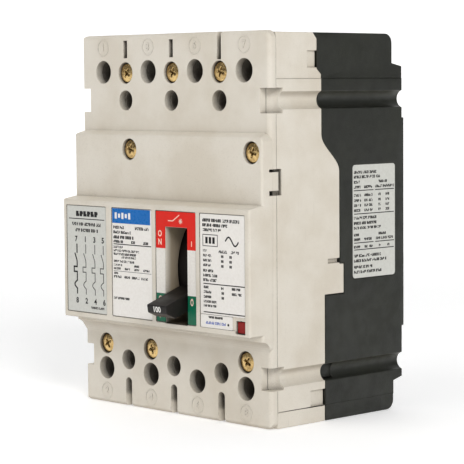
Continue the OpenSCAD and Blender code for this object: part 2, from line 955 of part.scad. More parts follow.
plate_in = 8.7;
plate_t = 1.4;
SPACERS = [[58, 14], [30, -24]];
module side_plates() {
  color(steel)
    for (side = [-1, 1])
      difference() {
        translate([mech_x + side * (plate_in + plate_t / 2), 0, 0])
          across(-plate_t / 2, plate_t / 2)
            difference() {
              polygon([[3, -13], [3, -28], [52, -28], [60, -22], [60, 6], [61.5, 12], [61.5, 18],
                [52, 18], [40, 6], [30, 6], [26, 12], [16, 12], [16, -13]]);
              translate(CROSSBAR)
                circle(r = crossbar_r + 0.6);
              translate([10, CROSSBAR[1] - crossbar_r - 0.6])
                square([12, 2 * crossbar_r + 1.2]);
            }
        round_x(PIVOT, 2.02, 0, 30);
        for (p = concat(SPACERS, [CRADLE_PIVOT]))
          round_x(p, 1.82, 0, 30);
      }
}

// Two short pins, so that the main springs can pass between them
module yoke_pivots() {
  color(steel)
    for (side = [-1, 1])
      translate([mech_x + side * 8.7, 0, 0])
        round_x(PIVOT, 2, -1.4, 1.4);
}

module cradle_pin() {
  color(steel)
    round_x(CRADLE_PIVOT, 1.8, mech_x - 10.1, mech_x + 10.1);
}

module spacer_pins() {
  color(steel)
    for (p = SPACERS)
      round_x(p, 1.8, mech_x - 10.1, mech_x + 10.1);
}

// Draws its children with the handle level, and turns them down to the off position
module at_handle_off() {
  swing(PIVOT, -off_angle)
    children();
}

yoke_half = 8.5;
yoke_r = 22.8;
module handle_yoke() {
  color(steel)
    at_handle_off()
      difference() {
        union() {
          for (side = [-1, 1])
            translate([mech_x + side * (yoke_half - 0.5), 0, 0])
              across(-0.5, 0.5)
                polygon(concat(
                  arc(PIVOT, 4, 110, 250, 10),
                  [PIVOT + [yoke_r, -4], PIVOT + [yoke_r, 4]]));
          block([mech_x - yoke_half, mech_x + yoke_half], span(PIVOT[0], yoke_r - 1.2, yoke_r),
            span(PIVOT[1], -4, 4));
        }
        round_x(PIVOT, 2 + running_gap, 0, 30);
        round_x(PIVOT + [anchor_r, 0], 1.02, 0, 30);
      }
}

module spring_anchor_pin() {
  color(steel)
    at_handle_off()
      round_x(PIVOT + [anchor_r, 0], 1, mech_x - yoke_half, mech_x + yoke_half);
}

skirt_half = 7.2;
grip_end = 44.3;
module handle() {
  color("#2d2620")
    at_handle_off() {
      across(handle_x - skirt_half, handle_x + skirt_half)
        polygon(concat(
          arc(PIVOT, skirt_r, -58, 56, 40),
          arc(PIVOT, skirt_r - 2, 56, -58, 40)));
      across(handle_x - handle_w / 2, handle_x + handle_w / 2)
        polygon([PIVOT + [yoke_r, -3.05], PIVOT + [40.9, -3.05], PIVOT + [grip_end, 0.1],
          PIVOT + [grip_end - 0.5, 2.95], PIVOT + [yoke_r, 2.95]]);
    }
}

module cradle() {
  color(steel)
    across(mech_x - 1, mech_x + 1)
      difference() {
        polygon(concat(
          arc(CRADLE_PIVOT, 4, 135, -45, 8),
          [[53, -12], [50, -20], [49.1, -33.5], [44.9, -33.5], [45.6, -20]],
          arc(CRADLE_LINK, 3.6, 190, 130, 4)));
        translate(CRADLE_PIVOT)
          circle(r = 1.8 + running_gap);
        translate(CRADLE_LINK)
          circle(r = pin_r + 0.02);
      }
}

module cradle_link_pin() {
  color(steel)
    round_x(CRADLE_LINK, pin_r, mech_x - 3.4, mech_x + 3.4);
}

// The upper links end in an open fork round the cradle's pin
fork_half = 3.2;
module upper_links() {
  angle = atan2(CRADLE_LINK[1] - TOGGLE[1], CRADLE_LINK[0] - TOGGLE[0]);
  color(steel)
    for (side = [-1, 1])
      translate([mech_x + side * 2.8, 0, 0])
        across(-0.4, 0.4)
          translate(TOGGLE)
            rotate(angle)
              difference() {
                union() {
                  circle(r = 3);
                  polygon([[0, -3], [9, -4.6], [17, -4.6], [17, 4.6], [9, 4.6], [0, 3]]);
                }
                circle(r = pin_r + running_gap);
                translate([11.5, 0])
                  circle(r = fork_half);
                translate([11.5, -fork_half])
                  square([8, 2 * fork_half]);
              }
}

module lower_links() {
  color(steel)
    for (side = [-1, 1])
      translate([mech_x + side * 3.9, 0, 0])
        link(CRANK, TOGGLE, 3, pin_r + running_gap, -0.4, 0.4);
}

module crank_pin() {
  color(steel)
    round_x(CRANK, pin_r, mech_x - 4.6, mech_x + 4.6);
}

module toggle_pin() {
  color(steel)
    round_x(TOGGLE, pin_r, mech_x - 7, mech_x + 7);
}

module main_springs() {
  run = ANCHOR - TOGGLE;
  length = norm(run) - pin_r - 1.4;
  color("#9a9c9e")
    for (side = [-1, 1])
      translate([mech_x + side * 5.7, -TOGGLE[0], TOGGLE[1]])
        rotate([90 - atan2(run[1], run[0]), 0, 0])
          translate([0, 0, pin_r + 0.2])
            coil(length, 1.1, 0.25, 12);
}

rear_base();
mid_case();
front_cover();
handle();
trip_button();
trip_button_spring();
schematic_label();
rating_label();
handle_plate();
data_label();
trip_sticker();
side_label();
top_cover_screws();
middle_cover_screws();
bottom_cover_screws();
case_screws();
line_lugs();
load_lugs();
terminal_screw(POLES[0], line_z);  // line_screw_1
terminal_screw(POLES[1], line_z);  // line_screw_2
terminal_screw(POLES[2], line_z);  // line_screw_3
terminal_screw(POLES[3], line_z);  // line_screw_4
terminal_screw(POLES[0], load_z);  // load_screw_1
terminal_screw(POLES[1], load_z);  // load_screw_2
terminal_screw(POLES[2], load_z);  // load_screw_3
terminal_screw(POLES[3], load_z);  // load_screw_4
line_conductors();
fixed_contacts();
arc_plates();
arc_chute_walls();
crossbar();
contact_arms();
moving_contacts();
braids();
load_conductors();
bimetals();
calibration_screws();
magnet_yokes();
armature(1);  // armature_1
armature(2);  // armature_2
armature(3);  // armature_3
armature(4);  // armature_4
armature_pins();
trip_bar();
side_plates();
yoke_pivots();
cradle_pin();
spacer_pins();
handle_yoke();
spring_anchor_pin();
cradle();
cradle_link_pin();
upper_links();
lower_links();
crank_pin();
toggle_pin();
main_springs();
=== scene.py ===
import json
import math
import random

import bmesh
import bpy
from mathutils import Matrix, Vector


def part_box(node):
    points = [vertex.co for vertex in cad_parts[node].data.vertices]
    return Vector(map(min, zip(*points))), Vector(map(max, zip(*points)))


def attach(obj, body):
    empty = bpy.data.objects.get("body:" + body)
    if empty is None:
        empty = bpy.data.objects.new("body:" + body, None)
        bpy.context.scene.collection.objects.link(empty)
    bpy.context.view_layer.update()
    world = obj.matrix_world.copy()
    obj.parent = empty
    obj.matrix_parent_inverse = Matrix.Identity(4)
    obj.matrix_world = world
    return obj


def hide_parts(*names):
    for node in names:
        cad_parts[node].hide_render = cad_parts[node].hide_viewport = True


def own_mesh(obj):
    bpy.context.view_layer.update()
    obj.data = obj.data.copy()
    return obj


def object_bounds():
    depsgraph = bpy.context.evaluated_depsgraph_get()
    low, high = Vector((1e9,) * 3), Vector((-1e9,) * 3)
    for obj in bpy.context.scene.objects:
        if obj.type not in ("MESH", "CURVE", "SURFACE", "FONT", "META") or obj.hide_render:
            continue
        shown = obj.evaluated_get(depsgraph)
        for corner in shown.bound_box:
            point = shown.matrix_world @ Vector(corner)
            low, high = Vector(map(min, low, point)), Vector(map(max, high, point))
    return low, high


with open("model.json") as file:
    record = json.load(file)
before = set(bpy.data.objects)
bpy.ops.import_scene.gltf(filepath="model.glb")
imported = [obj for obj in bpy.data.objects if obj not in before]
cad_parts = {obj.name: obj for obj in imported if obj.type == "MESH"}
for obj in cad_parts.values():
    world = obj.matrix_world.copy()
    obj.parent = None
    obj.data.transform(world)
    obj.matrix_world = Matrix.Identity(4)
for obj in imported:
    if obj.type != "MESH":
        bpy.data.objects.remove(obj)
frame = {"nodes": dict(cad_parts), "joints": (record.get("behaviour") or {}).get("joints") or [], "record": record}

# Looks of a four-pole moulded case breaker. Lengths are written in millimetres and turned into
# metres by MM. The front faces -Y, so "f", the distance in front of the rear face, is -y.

MM = 0.001
cad_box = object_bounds()
FLOOR_Z = cad_box[0][2]
nodes = frame["nodes"]
slot_of = {part["node"]: part["material_slot"] for part in frame["record"]["subparts"]}


# ---------- Node trees ----------

class Shader:
    """A material and a few short ways to add nodes to it."""

    def __init__(self, name):
        self.material = bpy.data.materials.new(name)
        self.material.use_nodes = True
        self.tree = self.material.node_tree
        self.tree.nodes.clear()
        output = self.add("ShaderNodeOutputMaterial")
        self.surface = self.add("ShaderNodeBsdfPrincipled")
        self.link(self.surface.outputs["BSDF"], output.inputs["Surface"])
        self.place = self.add("ShaderNodeTexCoord").outputs["Object"]

    def add(self, kind, **settings):
        node = self.tree.nodes.new(kind)
        for key, value in settings.items():
            setattr(node, key, value)
        return node

    def link(self, out, target):
        self.tree.links.new(out, target)

    def set(self, **values):
        """Sets constant sockets of the surface shader, with _ for the spaces in their names."""
        for key, value in values.items():
            self.surface.inputs[key.replace("_", " ")].default_value = value

    def axes(self, vector):
        """The X, Y and Z sockets of a vector."""
        split = self.add("ShaderNodeSeparateXYZ")
        self.link(vector, split.inputs[0])
        return split.outputs

    def stretched(self, scale):
        mapping = self.add("ShaderNodeMapping")
        mapping.inputs["Scale"].default_value = scale
        self.link(self.place, mapping.inputs["Vector"])
        return mapping.outputs["Vector"]

    def noise(self, scale, detail=3.0, rough=0.5, stretch=None):
        node = self.add("ShaderNodeTexNoise")
        node.inputs["Scale"].default_value = scale
        node.inputs["Detail"].default_value = detail
        node.inputs["Roughness"].default_value = rough
        self.link(self.stretched(stretch) if stretch else self.place, node.inputs["Vector"])
        return node.outputs["Fac"]

    def fit(self, value, low, high, out_low=0.0, out_high=1.0):
        """Maps low..high smoothly to out_low..out_high, and holds the ends beyond them."""
        node = self.add("ShaderNodeMapRange")
        node.interpolation_type = "SMOOTHSTEP"
        for socket, number in (("From Min", low), ("From Max", high),
                               ("To Min", out_low), ("To Max", out_high)):
            node.inputs[socket].default_value = number
        self.link(value, node.inputs["Value"])
        return node.outputs["Result"]

    def math(self, operation, a, b):
        node = self.add("ShaderNodeMath", operation=operation)
        for socket, value in zip(node.inputs, (a, b)):
            if isinstance(value, (int, float)):
                socket.default_value = value
            else:
                self.link(value, socket)
        return node.outputs[0]

    def mix(self, factor, a, b):
        node = self.add("ShaderNodeMix", data_type="RGBA")
        for socket, value in (("Factor", factor), ("A", a), ("B", b)):
            target = next(s for s in node.inputs if s.name == socket
                          and s.type == ("VALUE" if socket == "Factor" else "RGBA"))
            if isinstance(value, (int, float)):
                target.default_value = value
            elif isinstance(value, tuple):
                target.default_value = value + (1.0,)
            else:
                self.link(value, target)
        return next(s for s in node.outputs if s.type == "RGBA")

    def shelter(self, distance):
        """How enclosed a point is, from ambient occlusion: 0 in the open, 1 deep in a corner; the materials paint
        shade with it. It fades out near the floor, which is no corner.
        """
        node = self.add("ShaderNodeAmbientOcclusion", samples=6)
        node.inputs["Distance"].default_value = distance
        clear = self.fit(self.axes(self.place)["Z"], FLOOR_Z + 1 * MM, FLOOR_Z + 6 * MM)
        return self.math("MULTIPLY", self.math("SUBTRACT", 1.0, node.outputs["AO"]), clear)

    def within(self, low, high, fade):
        """1 inside the box between two corners, falling to 0 at its sides over the fade."""
        place = self.axes(self.place)
        inside = 1.0
        for axis, a, b in zip("XYZ", low, high):
            inside = self.math("MULTIPLY", self.fit(place[axis], a, a + fade), inside)
            inside = self.math("MULTIPLY", self.fit(place[axis], b, b - fade), inside)
        return inside

    def edges(self, radius):
        """1 on sharp edges, 0 on flat faces."""
        bevel = self.add("ShaderNodeBevel", samples=4)
        bevel.inputs["Radius"].default_value = radius
        geometry = self.add("ShaderNodeNewGeometry")
        dot = self.add("ShaderNodeVectorMath", operation="DOT_PRODUCT")
        self.link(bevel.outputs["Normal"], dot.inputs[0])
        self.link(geometry.outputs["Normal"], dot.inputs[1])
        return self.fit(self.math("SUBTRACT", 1.0, dot.outputs["Value"]), 0.01, 0.25)

    def facing_down(self):
        """1 on faces that look down, 0 on all that look up or level."""
        normal = self.axes(self.add("ShaderNodeNewGeometry").outputs["Normal"])
        return self.fit(self.math("MULTIPLY", normal["Z"], -1.0), 0.05, 0.8)

    def colour(self, out):
        self.link(out, self.surface.inputs["Base Color"])

    def roughness(self, out):
        self.link(out, self.surface.inputs["Roughness"])

    def bump(self, *layers, rounding=0.0):
        """Each layer is a height and its depth in metres. rounding, in metres, softens edges."""
        normal = None
        if rounding:
            bevel = self.add("ShaderNodeBevel", samples=6)
            bevel.inputs["Radius"].default_value = rounding
            normal = bevel.outputs["Normal"]
        for height, depth in layers:
            node = self.add("ShaderNodeBump")
            node.inputs["Distance"].default_value = depth
            self.link(height, node.inputs["Height"])
            if normal is not None:
                self.link(normal, node.inputs["Normal"])
            normal = node.outputs["Normal"]
        self.link(normal, self.surface.inputs["Normal"])


def srgb(red, green, blue):
    """A colour given from 0 to 255, as the linear values that the shaders take."""
    def linear(value):
        value /= 255
        return value / 12.92 if value <= 0.04045 else ((value + 0.055) / 1.055) ** 2.4
    return (linear(red), linear(green), linear(blue))


def moulded(name, base, shade, dirt_and_shade, dust_and_shade_amount=0.6, rough=(0.42, 0.6), grain=1.0,
            painted_hole_shade=srgb(48, 41, 33), specular=0.5, painted_shadow_box=None):
    """Moulded plastic: cloudy colour, fine grain, patchy dust with painted shade in corners, painted shade in
    gaps, in holes and on faces that look down, dark nicks and a painted highlight on edges.
    Its last argument is a box, as two corners, whose inside gets painted shadow all over."""
    s = Shader(name)

    def layer(mask, strength, under, over):
        return s.mix(s.math("MULTIPLY", mask, strength), under, over)

    cloud = s.fit(s.noise(38, 4.0, 0.6), 0.35, 0.68)
    speck = s.fit(s.noise(2600, 2.0, 0.7), 0.56, 0.72)
    body = s.mix(cloud, base, shade)
    body = layer(speck, 0.16, body, dirt_and_shade)
    streak = s.fit(s.noise(1.0, 5.0, 0.7, (900, 900, 60)), 0.62, 0.78)
    body = layer(streak, 0.14, body, dirt_and_shade)
    patch = s.fit(s.noise(120, 5.0, 0.65), 0.35, 0.75, 0.45, 1.0)
    # Patchy dust in corners together with painted shade: corners and notches darken by how enclosed they are
    corner = s.math("MULTIPLY", s.fit(s.shelter(4 * MM), 0.28, 0.95), patch)
    body = layer(corner, dust_and_shade_amount, body, dirt_and_shade)
    # Painted shade on faces that look down
    body = layer(s.facing_down(), 0.4, body, dirt_and_shade)
    # Painted shade in narrow gaps, seams and round raised marks
    body = layer(s.fit(s.shelter(1 * MM), 0.2, 0.75), 0.5, body, dirt_and_shade)
    # Painted shade: holes, slots and deep notches go dark by how enclosed they are
    body = layer(s.fit(s.shelter(3 * MM), 0.5, 0.85), 0.92, body, painted_hole_shade)
    body = layer(s.fit(s.shelter(12 * MM), 0.45, 0.9), 0.92, body, painted_hole_shade)
    # Painted shadow over the inside of the given box
    if painted_shadow_box:
        body = layer(s.within(*painted_shadow_box, 3 * MM), 0.9, body, srgb(146, 132, 110))
    nick = s.math("MULTIPLY", s.edges(0.6 * MM), s.fit(s.noise(230, 3.0, 0.7), 0.6, 0.68))
    body = layer(nick, 0.7, body, tuple(c * 0.35 for c in dirt_and_shade))
    # Painted highlight along every sharp edge
    pale = tuple(min(1.0, c * 1.12 + 0.01) for c in base)
    s.colour(layer(s.edges(0.35 * MM), 0.4, body, pale))
    s.roughness(s.fit(s.noise(210, 4.0), 0.3, 0.7, *rough))
    s.set(IOR=1.5, Specular_IOR_Level=specular)
    s.bump((s.noise(70, 2.0), 0.35 * MM), (s.noise(1700, 2.0, 0.6), 0.045 * MM * grain),
           rounding=0.3 * MM)
    return s.material


def printed(name, base, tint, rough=0.38):
    """Printed film: even colour with a faint fibre mottle, and painted shade along its edges."""
    s = Shader(name)
    mottle = s.fit(s.noise(900, 4.0, 0.7), 0.35, 0.7)
    body = s.mix(s.math("MULTIPLY", mottle, 0.5), base, tint)
    # Painted shade where the label meets the walls of its window
    painted_edge_shade = s.math("MULTIPLY", s.fit(s.shelter(2 * MM), 0.3, 1.0), 0.45)
    s.colour(s.mix(painted_edge_shade, body, tuple(c * 0.45 for c in tint)))
    s.roughness(s.fit(s.noise(300, 3.0), 0.3, 0.7, rough - 0.05, rough + 0.12))
    s.bump((s.noise(90, 2.0), 0.12 * MM), (s.noise(2200, 2.0), 0.012 * MM))
    return s.material


# Where the handle plate's colours change
PLATE_RED_Z = -7.6
PLATE_GREEN_Z = -23.9


def handle_film():
    """The plate round the handle: red above, white in the middle, green below."""
    s = Shader("colour_label")
    height = s.axes(s.place)["Z"]
    lower = s.math("GREATER_THAN", height, PLATE_GREEN_Z * MM)
    upper = s.math("GREATER_THAN", height, PLATE_RED_Z * MM)
    green, white, red = srgb(0, 106, 76), srgb(236, 232, 224), srgb(226, 26, 4)
    body = s.mix(upper, s.mix(lower, green, white), red)
    mottle = s.fit(s.noise(1100, 4.0, 0.7), 0.35, 0.7)
    worn = s.mix(s.math("MULTIPLY", mottle, 0.1), body, srgb(120, 60, 50))
    # Painted shade along the plate's edges and round its marks
    painted_edge_shade = s.math("MULTIPLY", s.fit(s.shelter(1.6 * MM), 0.3, 1.0), 0.35)
    s.colour(s.mix(painted_edge_shade, worn, srgb(60, 30, 24)))
    s.roughness(s.fit(s.noise(300, 3.0), 0.3, 0.7, 0.28, 0.42))
    s.set(Specular_IOR_Level=0.25)
    s.bump((s.noise(110, 2.0), 0.1 * MM), (s.noise(2200, 2.0), 0.01 * MM))
    return s.material


def metal(name, base, tarnish, rough=(0.22, 0.45), brushed=(1, 1, 1), tarnish_amount=0.7,
          grime_and_shade=0.75):
    """Bare or plated metal with tarnish patches, fine tool marks, and grime with painted shade in the recesses."""
    s = Shader(name)
    patch = s.math("MULTIPLY", s.fit(s.noise(420, 5.0, 0.65), 0.42, 0.72), tarnish_amount)
    body = s.mix(patch, base, tarnish)
    # Grime and painted shade: recesses such as the screws' cross darken by how enclosed they are
    recess = s.math("MULTIPLY", s.fit(s.shelter(1.4 * MM), 0.16, 0.62), grime_and_shade)
    s.colour(s.mix(recess, body, tuple(c * 0.22 for c in tarnish)))
    marks = s.noise(1500, 3.0, 0.6, brushed)
    s.roughness(s.fit(marks, 0.3, 0.7, *rough))
    s.set(Metallic=1.0)
    s.bump((marks, 0.015 * MM))
    return s.material


def ink(name, base, rough=0.4, uneven=0.35):
    """Printing ink, slightly uneven."""
    s = Shader(name)
    thin = s.math("MULTIPLY", s.fit(s.noise(1800, 3.0, 0.7), 0.4, 0.8), uneven)
    thin_colour = tuple(min(1, c * 1.5 + 0.03) for c in base)
    s.colour(s.mix(thin, base, thin_colour))
    s.roughness(s.fit(s.noise(900), 0.3, 0.7, rough - 0.08, rough + 0.12))
    s.set(Specular_IOR_Level=0.25)
    s.bump((s.noise(2400, 2.0), 0.008 * MM))
    return s.material


# The inside of the slot that the handle stands through, whose walls get painted shadow
handle_low, handle_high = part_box("handle")
HANDLE_X = (handle_low[0] + handle_high[0]) / 2
HANDLE_SLOT = ((HANDLE_X - 9.5 * MM, -79.8 * MM, -38.5 * MM),
               (HANDLE_X + 9.5 * MM, -50 * MM, 4 * MM))
materials = {
    "cream_moulding": moulded("cream_moulding", srgb(226, 219, 206), srgb(215, 206, 190),
                              srgb(108, 90, 66), painted_shadow_box=HANDLE_SLOT),
    "dark_moulding": moulded("dark_moulding", srgb(30, 32, 23), srgb(22, 24, 17),
                             srgb(68, 67, 54), dust_and_shade_amount=0.25, rough=(0.4, 0.58), grain=1.3,
                             painted_hole_shade=srgb(12, 12, 11)),
    "handle_plastic": moulded("handle_plastic", srgb(21, 17, 14), srgb(14, 12, 10),
                              srgb(58, 48, 38), dust_and_shade_amount=0.15, rough=(0.4, 0.55), grain=0.8,
                              painted_hole_shade=srgb(10, 8, 7), specular=0.3),
    "red_plastic": moulded("red_plastic", srgb(156, 14, 4), srgb(130, 10, 4), srgb(56, 12, 9),
                           dust_and_shade_amount=0.6, rough=(0.3, 0.46), grain=0.7, painted_hole_shade=srgb(30, 6, 5),
                           specular=0.3),
    "white_label": printed("white_label", srgb(242, 238, 232), srgb(230, 225, 217)),
    "grey_label": printed("grey_label", srgb(212, 212, 205), srgb(196, 195, 187)),
    "colour_label": handle_film(),
    "zinc_screw": metal("zinc_screw", srgb(224, 192, 132), srgb(120, 86, 42), rough=(0.16, 0.34),
                        tarnish_amount=0.65, grime_and_shade=0.97),
    "lug_metal": metal("lug_metal", srgb(205, 205, 206), srgb(150, 150, 150), rough=(0.3, 0.5),
                       brushed=(1, 1, 0.05)),
    "screw_steel": metal("screw_steel", srgb(180, 180, 182), srgb(110, 106, 100)),
    "spring_steel": metal("spring_steel", srgb(165, 166, 170), srgb(100, 98, 94),
                          rough=(0.2, 0.35)),
    "copper": metal("copper", srgb(206, 132, 92), srgb(120, 66, 44), rough=(0.25, 0.5),
                    brushed=(1, 0.08, 1)),
    "contact_silver": metal("contact_silver", srgb(216, 214, 208), srgb(130, 122, 110)),
    "plate_steel": metal("plate_steel", srgb(172, 172, 174), srgb(112, 104, 94), rough=(0.3, 0.5),
                         brushed=(1, 1, 0.06)),
    "bimetal": metal("bimetal", srgb(186, 172, 142), srgb(116, 96, 72), brushed=(0.06, 1, 1)),
    "fibre": moulded("fibre", srgb(128, 84, 56), srgb(104, 66, 44), srgb(60, 40, 28), grain=2.0),
    "insulator": moulded("insulator", srgb(104, 74, 54), srgb(84, 58, 42), srgb(50, 36, 28)),
}
black_ink = ink("black_ink", srgb(20, 18, 18))
grey_ink = ink("grey_ink", srgb(58, 56, 54))
blue_ink = ink("blue_ink", srgb(0, 104, 182), rough=0.3, uneven=0.12)
pale_blue_ink = ink("pale_blue_ink", srgb(120, 132, 186))
white_ink = ink("white_ink", srgb(240, 238, 232))
pink_ink = ink("pink_ink", srgb(250, 214, 196))


# ---------- Carried-over CAD nodes ----------

# Corners of one CAD vertex that the import has split lie closer than this
SPLIT_GAP = 0.002 * MM


def soften(name, width):
    """Rounds a CAD node's sharp edges and evens out its shading, without touching its mesh."""
    piece = nodes[name]
    weld = piece.modifiers.new("weld", "WELD")
    weld.merge_threshold = SPLIT_GAP
    bevel = piece.modifiers.new("bevel", "BEVEL")
    bevel.width = width * MM
    bevel.segments = 2
    bevel.limit_method = "ANGLE"
    bevel.angle_limit = math.radians(28)
    bevel.use_clamp_overlap = False
    bevel.loop_slide = False
    shade = piece.modifiers.new("shade", "WEIGHTED_NORMAL")
    shade.mode = "FACE_AREA_WITH_ANGLE"
    shade.weight = 80


def dress(name):
    """Gives a CAD node the material of its slot in the record."""
    piece = nodes[name]
    material = materials[slot_of[name]]
    if not piece.material_slots:
        piece.data.materials.append(material)
    for slot in piece.material_slots:
        slot.material = material


for name in nodes:
    dress(name)
# The front cover's edges are already round in CAD
for name, width in (("mid_case", 0.22), ("rear_base", 0.22), ("handle", 0.35),
                    ("trip_button", 0.2)):
    soften(name, width)


# ---------- Mesh helpers ----------

def as_data(mesh, name):
    """Turns a bmesh into mesh data with its faces facing out, and frees it."""
    bmesh.ops.recalc_face_normals(mesh, faces=mesh.faces)
    data = bpy.data.meshes.new(name)
    mesh.to_mesh(data)
    mesh.free()
    return data


def new_piece(name, mesh, material, body, smooth=True):
    """A new object with the given material, riding on a body."""
    piece = bpy.data.objects.new(name, mesh)
    bpy.context.scene.collection.objects.link(piece)
    mesh.materials.append(material)
    if smooth:
        mesh.shade_smooth()
    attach(piece, body)
    return piece


def islands(name):
    """The boxes of a CAD node's separate solids, as (low corner, high corner)."""
    mesh = bmesh.new()
    mesh.from_mesh(nodes[name].data)
    bmesh.ops.remove_doubles(mesh, verts=mesh.verts, dist=SPLIT_GAP)
    left = set(mesh.verts)
    boxes = []
    while left:
        group = [left.pop()]
        for vertex in group:
            for edge in vertex.link_edges:
                other = edge.other_vert(vertex)
                if other in left:
                    left.remove(other)
                    group.append(other)
        low = Vector([min(v.co[k] for v in group) for k in range(3)])
        high = Vector([max(v.co[k] for v in group) for k in range(3)])
        boxes.append((low, high))
    mesh.free()
    return sorted(boxes, key=lambda box: (round(box[0].z, 4), box[0].x))


def smoothstep(value):
    value = min(1.0, max(0.0, value))
    return value * value * (3 - 2 * value)


# ---------- Cover screws ----------

SPOKES = 72          # points round a screw
RINGS = 30           # rings over its head
DOME = 0.55          # height of the head's middle over its rim
RIM_DROP = 0.3       # how much the rim is rounded down
CROSS_REACH = 1.95   # from the middle to the end of an arm of the recess
CROSS_HALF = 0.6     # half of an arm's width at the middle
CROSS_DEPTH = 1.5
WALL = 0.16          # width over which a recess wall slopes
HEAD = 1.7           # depth of the head
HEAD_EDGE = 1.1      # depth of its cylindrical edge
CREST = 1.88         # radius of the thread's crest
ROOT = 1.6           # radius of its root
PITCH = 0.8


def head_height(radius, angle, turn, rim):
    """How far the head's face stands above its rim, in mm: a low dome with a crossed recess."""
    share = radius / rim
    dome = DOME * (1 - share ** 2.4) - RIM_DROP * smoothstep((share - 0.9) / 0.1)
    depth = 0.0
    for quarter in (0, 90):
        a = abs(radius * math.cos(angle - math.radians(turn + quarter)))
        b = abs(radius * math.sin(angle - math.radians(turn + quarter)))
        half = CROSS_HALF * (1 - 0.35 * a / CROSS_REACH)
        side = smoothstep((half - b) / WALL)
        end = smoothstep((CROSS_REACH - a) / (3 * WALL))
        slope = 1 - 0.55 * min(1.0, a / CROSS_REACH)
        depth = max(depth, CROSS_DEPTH * side * end * slope)
    return dome - depth


def screw_mesh(mesh, low, high, turn):
    """A pan-head screw in the box of a CAD screw, with its head towards -Y."""
    centre = (low + high) / 2
    rim = (high.x - low.x) / 2 / MM
    length = (high.y - low.y) / MM
    rings = []
    for i in range(1, RINGS + 1):
        r = rim * (i / RINGS) ** 0.85
        rings.append([(r, DOME - head_height(r, 2 * math.pi * k / SPOKES, turn, rim))
                      for k in range(SPOKES)])
    profile = [(rim, HEAD_EDGE), (rim - 0.12, HEAD), (CREST, HEAD)]
    depth = HEAD + 1.0
    while depth < length - 2.5:
        profile += [(CREST, depth), (ROOT, depth + 0.35)]
        depth += PITCH
    profile += [(ROOT, length - 1.6), (0.4, length)]
    rings += [[(r, depth)] * SPOKES for r, depth in profile]

    def point(r, depth, k):
        a = 2 * math.pi * k / SPOKES
        return mesh.verts.new((centre.x + r * MM * math.cos(a), low.y + depth * MM,
                               centre.z + r * MM * math.sin(a)))

    middle = point(0, DOME - head_height(0, 0, turn, rim), 0)
    loops = [[point(*ring[k], k) for k in range(SPOKES)] for ring in rings]
    for k in range(SPOKES):
        n = (k + 1) % SPOKES
        mesh.faces.new((middle, loops[0][k], loops[0][n]))
        for inner, outer in zip(loops, loops[1:]):
            mesh.faces.new((inner[k], outer[k], outer[n], inner[n]))
    mesh.faces.new(list(reversed(loops[-1])))


def cover_screws(node, seed):
    """Replaces a group of CAD cover screws, each with its recess turned its own way."""
    turns = random.Random(seed)
    mesh = bmesh.new()
    for low, high in islands(node):
        screw_mesh(mesh, low, high, turns.uniform(0, 90))
    piece = new_piece(node + "_detailed", as_data(mesh, node + "_heads"),
                      materials["zinc_screw"], "case")
    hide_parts(node)


for seed, node in ((5, "top_cover_screws"), (6, "middle_cover_screws"), (7, "bottom_cover_screws")):
    cover_screws(node, seed)


# ---------- Trip button spring ----------


def button_spring():
    """The spring behind the trip button. The real one shortens as the button goes in; this coil is built at one
    fixed length.
    """
    node = "trip_button_spring"
    (x0, y0, z0), (x1, y1, z1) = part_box(node)
    wire = 0.25 * MM  # its radius
    turns, steps, sides = 5, 24, 10
    coil = (x1 - x0) / 2 - wire
    middle_x, middle_z = (x0 + x1) / 2, (z0 + z1) / 2
    count = turns * steps
    mesh = bmesh.new()
    rings = []
    for i in range(count + 1):
        a = 2 * math.pi * i / steps
        y = y1 - wire - (y1 - y0 - 2 * wire) * i / count
        ring = []
        for k in range(sides):
            b = 2 * math.pi * k / sides
            r = coil + wire * math.cos(b)
            ring.append(mesh.verts.new((middle_x + r * math.cos(a), y - wire * math.sin(b),
                                        middle_z + r * math.sin(a))))
        rings.append(ring)
    for first, second in zip(rings, rings[1:]):
        for k in range(sides):
            n = (k + 1) % sides
            mesh.faces.new((first[k], first[n], second[n], second[k]))
    mesh.faces.new(rings[0])
    mesh.faces.new(rings[-1])
    piece = new_piece(node + "_coil", as_data(mesh, node + "_coil"),
                      materials["spring_steel"], "case")
    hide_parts(node)
    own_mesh(piece)


button_spring()


# ---------- Print ----------

INK_T = 0.03       # how far ink stands out
INK_SUNK = 0.004   # how far it reaches into the label
BOLDER = 0.2       # added to each word's share of filled cells
WORD_LENGTHS = (3, 7)


